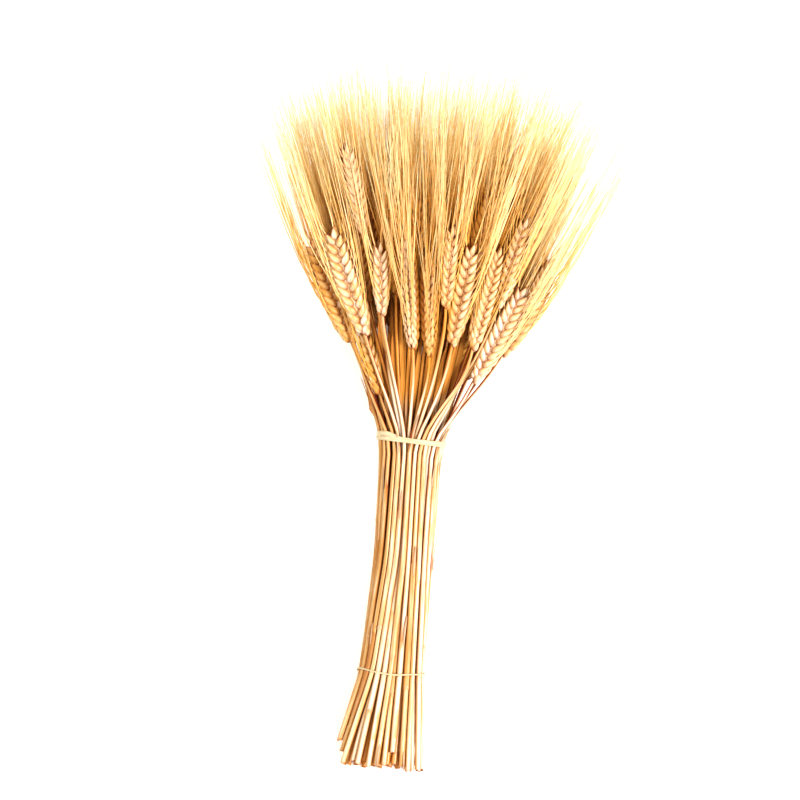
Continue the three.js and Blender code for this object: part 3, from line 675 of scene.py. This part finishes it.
# How long they are: by their place on the ear, by chance, and longer at the bunch's sides. Then
# where they end at the farthest, and how unevenly.
AWN_RUN = Sizes(length=117, by_place=(0.74, 0.3, 0.6), by_chance=(0.77, 0.64), aside=0.0007,
                at_right=0.0023)
AWN_FAR = Sizes(along=313, uneven=104, spread=(1.15, 0.6, 0.15))
# The far edge of the fan is domed: it drops towards both sides, and a few loose tips pass it.
DOME = Sizes(middle=15, top=283, drop=0.003, loose=30)


def add_awns(shells, start, leaves, aim, length, bow, out, tone):
    """Stiff bristles, which leave along their husks and soon run straight to their own aims."""
    t = AWN_AT[:, None]
    turns = AWN.turns
    line = start[:, None] + length[:, None, None] * (
        aim[:, None] * t + (leaves - aim)[:, None] * turns * (1 - np.exp(-t / turns))
    )
    side = unit(np.cross(aim, out))
    line = line + bow[:, None, None] * side[:, None] * np.sin(np.pi * t) ** 2
    radius = AWN.root + (AWN.end - AWN.root) * AWN_AT ** AWN.thins
    radius[[0, -1]] = 0
    line[:, :, 2] = np.maximum(line[:, :, 2], radius + AWN.over_table)
    angle = round_angles(AWN.sides)
    lift = unit(np.cross(side, aim))
    rings = (
        line[:, :, None]
        + (radius[:, None] * np.cos(angle))[None, ..., None] * side[:, None, None]
        + (radius[:, None] * np.sin(angle))[None, ..., None] * lift[:, None, None]
    )
    girth = np.full(len(start), 2 * math.pi * AWN.root)
    shells.add(rings, AWN_AT * length[:, None], girth, BRISTLE, tone, AWN_AT[:, None])


def awn_aims(faces, share, side, axes, tip_aside, random):
    """Which way each awn points: out with its husk, but not so far that it leaves the fan."""
    across, ahead, out = axes
    count = len(side)
    opens = AIM.middle if faces[0] == 1 else AIM.outer
    opens = opens + np.tan(np.radians(AIM.cone * random.random(count)))
    opens *= AIM.opens[0] + AIM.opens[1] * share
    tilt = np.tan(np.radians(AIM.cone * random.uniform(-1, 1, count)))
    tilt = np.sign(faces[1]) * AIM.tilt + tilt
    aim = ahead + (side * opens)[:, None] * across + tilt[:, None] * out
    follow = AIM.follows * np.clip(tip_aside / 100, AIM.follow_from, 1)
    lean = aim[:, 0] / aim[:, 1] + follow
    steepest = np.where(lean < 0, AIM.left, AIM.right)
    steepest = steepest + AIM.loose * random.random(count) ** 3
    aim[:, 0] = lean / (1 + (np.abs(lean) / steepest) ** 4) ** 0.25 * aim[:, 1]
    return unit(aim)


def awn_lengths(root, aim, share, tip_aside, random):
    """How long each awn is, ending inside the fan's uneven domed edge and below its top."""
    count = len(root)
    ends_at = root[:, 0] + AWN_RUN.length * aim[:, 0]
    dome = DOME.top - DOME.drop * (ends_at - DOME.middle) ** 2
    dome += DOME.loose * random.random(count) ** 3
    most, crowd, past = AWN_FAR.spread
    short_by = AWN_FAR.uneven * (most * random.random(count) ** crowd - past)
    farthest = np.minimum(AWN_FAR.along - short_by, dome)
    least, more, power = AWN_RUN.by_place
    length = AWN_RUN.length * (least + more * np.sin(np.pi * share) ** power)
    length *= AWN_RUN.by_chance[0] + AWN_RUN.by_chance[1] * random.random(count) ** 3
    length *= 1 + AWN_RUN.aside * abs(tip_aside) + AWN_RUN.at_right * max(tip_aside, 0)
    length = np.minimum(length, (farthest - root[:, 1]) / aim[:, 1])
    rising = np.maximum(aim[:, 2], 0.01)
    return np.minimum(length, (AWN.highest - root[:, 2]) / rising)


# The spikelets of an ear: how far apart those of one side are, where they lie as shares of the
# ear, how much smaller those near its ends are, and how their husks are scattered.
SPIKE = Sizes(apart=7.3, least=4, first=0.02, reach=0.9, offset=0.3, foot=(0.5, 4),
              tip=(0.5, 4, 3), last_aside=0.3, swell=(0.72, 0.3), scatter=0.15, size=(0.94, 1.06),
              tone=0.5, lowest=1.2)

# A spikelet's husks, in half widths across and half thicknesses out of the ear, and millimetres
# ahead: where each starts and ends, which way its back faces, its width and depth, the chance
# that it bears an awn, and whether it has a twin.
HUSKS = []
for start, end, faces, size, awn, paired in (
    ((0.04, 0.5, -2.0), (0.93, 0.84, 9.5), (0.25, 0.97), (5.0, 2.0), 1, True),
    ((0.35, 0.0, -1.0), (1.12, 0.0, 10.5), (1, 0.0), (5.2, 1.9), 0.6, False),
    ((0.30, 0.36, -3.5), (0.98, 0.56, 5.5), (0.6, 0.8), (4.2, 1.6), 0, True),
    ((0.00, 0.2, -2.0), (0.18, 0.58, 7.5), (0.0, 1), (4.0, 1.5), 0, True),
):
    for out in (1, -1) if paired else (1,):
        mirror = np.array([1, out, 1])
        HUSKS.append((mirror * start, mirror * end, mirror[:2] * faces, size, awn))


def add_ear(shells, stalk, random):
    """The ear: spikelets by turns on its right and left, and the awns that they bear."""
    base, tip = stalk.base, stalk.tip
    ends = eased_path(stalk.path, np.array([base, tip]))
    run = np.array([ends[1, 0] - ends[0, 0], tip - base, ends[1, 1] - ends[0, 1]])
    tip_aside = ends[1, 0]
    length = np.linalg.norm(run)
    ahead = run / length
    turn = stalk.turn
    up = np.array([0.0, 0, 1])
    up = up * math.cos(turn) + np.cross(ahead, up) * math.sin(turn)
    up += ahead * ahead[2] * (1 - math.cos(turn))
    across = unit(np.cross(ahead, up))
    out = np.cross(across, ahead)
    aside = max(SPIKE.least, round(length / SPIKE.apart))
    k = np.arange(2 * aside + 1)
    share = SPIKE.first + SPIKE.reach * (k + SPIKE.offset) / (2 * aside)
    side = np.where(k % 2, -1.0, 1.0)
    foot, rise = SPIKE.foot
    less, fall, begin = SPIKE.tip
    full = ear_fullness(share)
    at_tip = np.clip(fall * share - begin, 0, 1)
    full *= np.clip(foot + rise * share, 0, 1) * (1 - less * at_tip**2)
    half, deep = stalk.width / 2 * full, stalk.thick / 2 * full
    half[-1] *= SPIKE.last_aside
    y = base + share * (tip - base)
    path = eased_path(stalk.path, y)
    place = np.stack([path[:, 0], y, path[:, 1]], 1)
    swell = SPIKE.swell[0] + SPIKE.swell[1] * full

    def spot(x, z, forward):
        near = place + (x * side * half)[:, None] * across + (z * deep)[:, None] * out
        scatter = random.normal(0, SPIKE.scatter, near.shape)
        spots = near + (forward * swell)[:, None] * ahead + scatter
        spots[:, 2] = np.maximum(spots[:, 2], SPIKE.lowest)
        return spots

    for starts, points, faces, (width, depth), awn in HUSKS:
        start, point = spot(*starts), spot(*points)
        outward = (faces[0] * side)[:, None] * across + faces[1] * out
        varied = random.uniform(*SPIKE.size, len(k))
        size = stalk.width / TOP_EAR_WIDTH * swell * varied
        tone = stalk.tone + random.uniform(-SPIKE.tone, SPIKE.tone, len(k))
        add_husks(shells, start, point, outward, width * size, depth * size, tone)
        bears = random.random(len(k)) < awn
        aim = awn_aims(faces, share, side, (across, ahead, out), tip_aside, random)
        leaves = unit(point - start)
        root = point - AWN.inside * leaves
        long_ = awn_lengths(root, aim, share, tip_aside, random)
        bow = random.normal(0, AWN.bow, len(k))
        if bears.any():
            each = [values[bears] for values in (root, leaves, aim, long_, bow)]
            add_awns(shells, *each, out, tone[bears])


# The neck tie lies round the bunch twice. Its second turn lies under the first, and at the left
# it comes out and folds over its edge. The tail tie is one thin band, which sags a little between
# the straws. Skew is in degrees, and places round a tie are in radians.
NECK_TIE = Sizes(along=0, skew=-2.2, width=3.8)
SECOND_TURN = Sizes(width=3.5, thick=0.9, lift=0.1)
FOLD = Sizes(at=2.75, spread=0.42, aside=3.3, lift=1.0)
WAVERS = [(0.12, 3, 1), (0.08, 7, 0)]  # how much, how often and from where its width wavers
TAIL_TIE = Sizes(along=-168, skew=1, width=1.1)
TAIL_SAGS = [(-1.2, 1.4, 0.7), (1.8, 2.9, 0.4)]  # how far, where and how widely
TIE_LINE = Sizes(corners=96, points=220, easing=3)

# A band's cut, as shares of its width and its thickness: its edges are a little thicker.
BAND_CUT = np.array([
    [-0.5, 0.2], [-0.5, 0.8], [-0.43, 1], [-0.2, 0.9], [0, 0.87], [0.2, 0.9],
    [0.43, 1], [0.5, 0.8], [0.5, 0.2], [0.43, 0], [0, 0.06], [-0.43, 0],
])


def tie_line(stalks, tie):
    """The closed line (across, up) of a tie that just clears the outermost straws, its slope
    and length, and the place of each point round it."""
    slope = math.tan(math.radians(tie.skew))
    places = np.full(STALKS, float(tie.along))
    for _ in range(2):
        spots = np.array([
            eased_path(path, np.array([at]))[0] for path, at in zip(stalks.path, places)
        ])
        y, places = places, tie.along + slope * spots[:, 0]
    reach = culm_radius(stalks.base, y) + TIE_GAP
    angle = round_angles(TIE_LINE.corners)
    facing = np.stack([np.cos(angle), np.sin(angle)], 1)
    far = (facing @ spots.T + reach).max(1)
    after, beyond = np.roll(facing, -1, 0), np.roll(far, -1)
    cross = facing[:, 0] * after[:, 1] - facing[:, 1] * after[:, 0]
    line = np.stack([
        (far * after[:, 1] - beyond * facing[:, 1]) / cross,
        (beyond * facing[:, 0] - far * after[:, 0]) / cross,
    ], 1)
    line = np.concatenate([line, line[:1]])
    run = np.append(0, np.cumsum(np.linalg.norm(np.diff(line, axis=0), axis=1)))
    even = np.arange(TIE_LINE.points) / TIE_LINE.points * run[-1]
    line = np.stack([np.interp(even, run, line[:, n]) for n in range(2)], 1)
    for _ in range(TIE_LINE.easing):
        line = (np.roll(line, 1, 0) + 2 * line + np.roll(line, -1, 0)) / 4
    place = np.arctan2(line[:, 1] - line[:, 1].mean(), line[:, 0] - line[:, 0].mean())
    return line, slope, run[-1], place


def near_place(place, at, spread):
    """1 at one place round a tie, and less the further off it is."""
    return np.exp(-(((place - at) / spread) ** 2))


def add_band(shells, line, slope, girth, along, width, thick, aside, lift=0):
    """A rubber band round the straws. Aside moves it along the bunch and lift moves it out."""
    ahead = unit(np.roll(line, -1, 0) - np.roll(line, 1, 0))
    out = np.stack([ahead[:, 1], -ahead[:, 0]], 1)
    height = np.reshape(lift, (-1, 1)) + BAND_CUT[:, 1] * thick
    spots = line[:, None] + height[:, :, None] * out[:, None]
    y = along + slope * spots[:, :, 0] + aside[:, None] + BAND_CUT[:, 0] * width[:, None]
    rings = np.stack([spots[:, :, 0], y, np.maximum(spots[:, :, 1], 0)], 2)
    shells.add_loop(rings, np.arange(len(line) + 1) / len(line) * girth, 2 * width.mean(), 0)


def linear(code):
    """An sRGB hex colour as the linear colour that Blender works in."""
    parts = [int(code[n : n + 2], 16) / 255 for n in (1, 3, 5)]
    return [p / 12.92 if p <= 0.04045 else ((p + 0.055) / 1.055) ** 2.4 for p in parts] + [1]


def plug(tree, node, sockets):
    """Gives a node's sockets, each a value or the output of another node."""
    for name, value in sockets.items():
        if isinstance(value, bpy.types.NodeSocket):
            tree.links.new(value, node.inputs[name])
        else:
            node.inputs[name].default_value = value


def add(tree, kind, sockets=None, stops=None, out=0, **settings):
    """Adds a node with its settings and links, and a ramp's first, last and other colours. It
    gives one of the node's outputs."""
    made = tree.nodes.new("ShaderNode" + kind)
    for name, value in settings.items():
        setattr(made, name, value)
    plug(tree, made, sockets or {})
    for n, (place, code) in enumerate(stops or []):
        ramp = made.color_ramp.elements
        stop = ramp[n] if n < 2 else ramp.new(place)
        stop.position = place
        stop.color = linear(code)
    return made.outputs[out]


def new_material(name):
    material = bpy.data.materials.new(name)
    material.use_nodes = True
    return material, material.node_tree, material.node_tree.nodes["Principled BSDF"]


def plant_material(name, light, middle, dark, gold, brown, streak, rib, gloss, rough, relief,
                   vary):
    """A dried part of the plant. Light, middle and dark are the shades of its streaks, which its
    own tone moves by vary. The gold is painted shade deep in the bunch and on sides turned from
    its outside, and the brown is where it is marked: its own browning, and painted shade between
    parts.
    Streak is the streaks' size (round, along), rib the spacing of its ribs and relief their
    height, in millimetres. Gloss is its wax."""
    material, tree, shader = new_material(name)
    grain = add(tree, "UVMap", uv_map="grain")
    tone, mark, deep = (
        add(tree, "Attribute", out="Fac", attribute_name=title)
        for title in ("tone", "mark", "deep")
    )
    place = add(tree, "Mapping", {"Vector": grain, "Scale": (1 / streak[0], 1 / streak[1], 1)})
    streaks = add(tree, "TexNoise", {"Vector": place, "W": tone, "Scale": 1.0, "Detail": 4.0,
                                     "Roughness": 0.6}, noise_dimensions="4D")
    shade = add(tree, "Math", {0: tone, 1: vary, 2: streaks}, operation="MULTIPLY_ADD")
    colour = add(tree, "ValToRGB", {"Fac": shade},
                 stops=[(0.37, light), (0.68, dark), (0.51, middle)])
    # Painted shade is mixed in here: the gold deep in the bunch, and the brown between parts,
    # where it also gives real browning.
    for share, code in ((deep, gold), (mark, brown)):
        colour = add(tree, "Mix", {0: share, 6: colour, 7: linear(code)}, out=2,
                     data_type="RGBA")
    u = add(tree, "SeparateXYZ", {"Vector": grain})
    turn = add(tree, "Math", {0: u, 1: 2 * math.pi / rib}, operation="MULTIPLY")
    ribs = add(tree, "Math", {0: turn}, operation="SINE")
    height = add(tree, "Math", {0: ribs, 1: 0.35, 2: streaks}, operation="MULTIPLY_ADD")
    bump = add(tree, "Bump", {"Height": height, "Distance": relief * MM, "Strength": 1.0})
    worn = add(tree, "MapRange", {"Value": streaks, "From Min": 0.3, "From Max": 0.7,
                                  "To Min": rough - 0.08, "To Max": rough + 0.12})
    plug(tree, shader, {"Base Color": colour, "Roughness": worn, "IOR": 1.5, "Normal": bump,
                        "Coat Weight": gloss, "Coat Roughness": 0.25})
    return material


# Wheat straw, ripened and dried in the sun: a waxy skin that shines in long streaks, golden
# between pale fibres. Its ribs are about 0.2 mm apart and are drawn at 0.5 mm to show.
# Its gold is painted shade deep in the bunch, and its brown is that of its joints and cut ends and
# painted shade between the straws.
dry_straw = plant_material(
    "wheat straw, sun dried", "#E4DCCC", "#DCBE8A", "#C2924A", "#DE9C38", "#A24406",
    streak=(0.8, 45), rib=0.5, gloss=0.5, rough=0.36, relief=0.05, vary=0.13,
)
# The leaf sheath round the straw, dried to paper: paler and dull, with veins 0.6 mm apart.
# Its gold is painted shade deep in the bunch, and its brown is that of worn sheaths and torn leaf
# and painted shade between the straws.
dry_sheath = plant_material(
    "wheat leaf sheath, dried", "#E0D8C8", "#D8BC8C", "#BE9454", "#DEA244", "#A04C0C",
    streak=(1.6, 30), rib=0.6, gloss=0.0, rough=0.6, relief=0.08, vary=0.12,
)
# The husks of a ripe ear, dried: hard, smooth and cream. Their gold is painted shade deep in the
# bunch, and their brown is their own at the tips and painted shade at their bases and sides, where
# other husks meet them. Their veins are about 0.5 mm apart and are drawn at 0.9 mm to show.
dry_husk = plant_material(
    "wheat husk, ripe and dried", "#F2EEE6", "#E6D2AC", "#CE9A4C", "#DCA850", "#A4520E",
    streak=(1.5, 6), rib=0.9, gloss=0.1, rough=0.45, relief=0.06, vary=0.12,
)
# Awns: stiff barbed bristles, golden at the husk and paled by the sun towards their tips, dull
# because they are rough; their gold is painted shade deep in the fan. Their barbs are under 0.2 mm
# and are drawn as one rib of 0.7 mm to show.
dry_awn = plant_material(
    "wheat awn, dried", "#F4EAD6", "#EED08A", "#E8B044", "#F0B640", "#F4E4B6",
    streak=(0.8, 12), rib=0.7, gloss=0.0, rough=0.6, relief=0.02, vary=0.1,
)


def rubber_material():
    """Natural rubber, made as a dusted tube and cut into bands: cream and dull, with fine knife
    lines round it, about 0.1 mm apart, which are drawn 0.5 mm apart to show, and 9 mm long."""
    material, tree, shader = new_material("natural rubber, cut from tube")
    grain = add(tree, "UVMap", uv_map="grain")
    place = add(tree, "Mapping", {"Vector": grain, "Scale": (1 / 0.5, 1 / 9, 1)})
    dust = add(tree, "TexNoise", {"Vector": place, "Scale": 1.0, "Detail": 5.0})
    colour = add(tree, "ValToRGB", {"Fac": dust},
                 stops=[(0.3, "#C7AC82"), (0.7, "#DED3B8"), (0.5, "#D4C4A0")])
    bump = add(tree, "Bump", {"Height": dust, "Distance": 0.12 * MM})
    plug(tree, shader, {"Base Color": colour, "Normal": bump, "Roughness": 0.55, "IOR": 1.52})
    return material


# How the stalks differ in tone, with painted light that makes the right ones paler, as if lit from
# the right, and which of them keep blades: the lowest above the neck, with those that lie far
# aside there last.
TONES = 0.8
PAINTED_LIGHT_RIGHT = 0.7
BLADED = Sizes(stalks=26, aside=0.55, last=60)

stalks = plan_stalks()
stalks.path = settle(stalks)
from_centre = (stalks.path - CENTRE) / np.stack([WIDE, HIGH], 1)
to_right = from_centre[:, BETWEEN_TIES, 0]
outside = np.hypot(*from_centre[:, BETWEEN_TIES].T)
far_aside = np.abs(from_centre[:, ABOVE_NECK, 0]) > BLADED.aside
lowest_first = np.argsort(stalks.path[:, ABOVE_NECK, 1] + BLADED.last * far_aside)
bladed = lowest_first[: BLADED.stalks]
for index in range(STALKS):
    stalk = Sizes(**{name: values[index] for name, values in vars(stalks).items()})
    random = np.random.default_rng(SEED * 1000 + index)
    # Painted light: the further right a stalk lies, the paler its tone. The tone also sets how
    # worn its sheath is.
    stalk.tone = random.uniform(-TONES, TONES) - PAINTED_LIGHT_RIGHT * to_right[index]
    shells = Shells()
    sheath_top = add_straw(shells, stalk, random)
    add_ear(shells, stalk, random)
    if index in bladed:
        add_blades(shells, stalk, random)
    if outside[index] > SCRAPS.outside:
        add_scraps(shells, stalk, sheath_top, random)
    shells.piece(f"stalk_{index + 1:02d}", [dry_straw, dry_sheath, dry_husk, dry_awn])

rubber = rubber_material()

*tie, place = tie_line(stalks, NECK_TIE)
fold = near_place(place, FOLD.at, FOLD.spread)
waver = sum(much * np.sin(often * place + start) for much, often, start in WAVERS)
shells = Shells()
add_band(shells, *tie, NECK_TIE.along, NECK_TIE.width + waver, TIE_THICK, waver / 2)
add_band(shells, *tie, NECK_TIE.along, SECOND_TURN.width - waver, SECOND_TURN.thick,
         FOLD.aside * fold, SECOND_TURN.lift + FOLD.lift * fold)
shells.piece("neck_tie", [rubber])

*tie, place = tie_line(stalks, TAIL_TIE)
sag = sum(far * near_place(place, at, spread) for far, at, spread in TAIL_SAGS)
width = np.full(len(place), TAIL_TIE.width)
shells = Shells()
add_band(shells, *tie, TAIL_TIE.along, width, TIE_THICK, sag)
shells.piece("tail_tie", [rubber])


def white_table():
    """A table 12 metres wide, its top of cast acrylic, sanded matt: it shows no gloss and is lit
    from below, to one even white."""
    half = 6
    mesh = bpy.data.meshes.new("white_table")
    corners = [(-half, -half, 0), (half, -half, 0), (half, half, 0), (-half, half, 0)]
    mesh.from_pydata(corners, [], [range(4)])
    material, tree, shader = new_material("white acrylic, matt")
    plug(tree, shader, {"Base Color": linear("#FFFDF9"), "Roughness": 0.7,
                        "Emission Color": linear("#FFFFFF"), "Emission Strength": 0.2})
    mesh.materials.append(material)
    table = new_object("white_table", mesh)


def add_lamp(name, place, size, power):
    """A square soft box that faces the bunch. Places and sizes are in metres."""
    lamp = bpy.data.lights.new(name, "AREA")
    lamp.size = size
    lamp.energy = power
    made = new_object(name, lamp)
    made.location = place
    bunch = Vector((0, 0.02, 0.03))
    made.rotation_mode = "QUATERNION"
    made.rotation_quaternion = (made.location - bunch).to_track_quat("Z", "Y")


# The light comes from the right, a weaker lamp opens the shadows from the left, and the room is
# white and a little warm. The gamma under 1 gives the contrast of the photo.
white_table()
add_lamp("key", (1.55, -0.35, 1.8), 0.9, 66)
add_lamp("fill", (-1.3, 0.5, 1.9), 1.0, 32)
scene = bpy.context.scene
world = bpy.data.worlds.new("studio")
world.use_nodes = True
sky = world.node_tree.nodes["Background"]
plug(world.node_tree, sky, {"Color": linear("#FFFAF3"), "Strength": 0.68})
scene.world = world
scene.view_settings.view_transform = "Standard"
scene.view_settings.exposure = -0.05
scene.view_settings.gamma = 0.8

# The camera looks straight down through a long lens. The photo's frame is 576 mm wide at the
# middle of the bunch, 35 mm over the table, and the bunch leans to the right in it.
LEAN = math.radians(4.6)
FRAME_WIDE = 0.576
FAR = 4.0
camera = new_object("camera", bpy.data.cameras.new("camera"))
camera.data.sensor_width = 36
camera.data.lens = 36 * FAR / FRAME_WIDE
camera.location = (-0.01026, 0.02879, FAR + 0.035)
camera.rotation_euler = (0, 0, LEAN)
scene.camera = camera
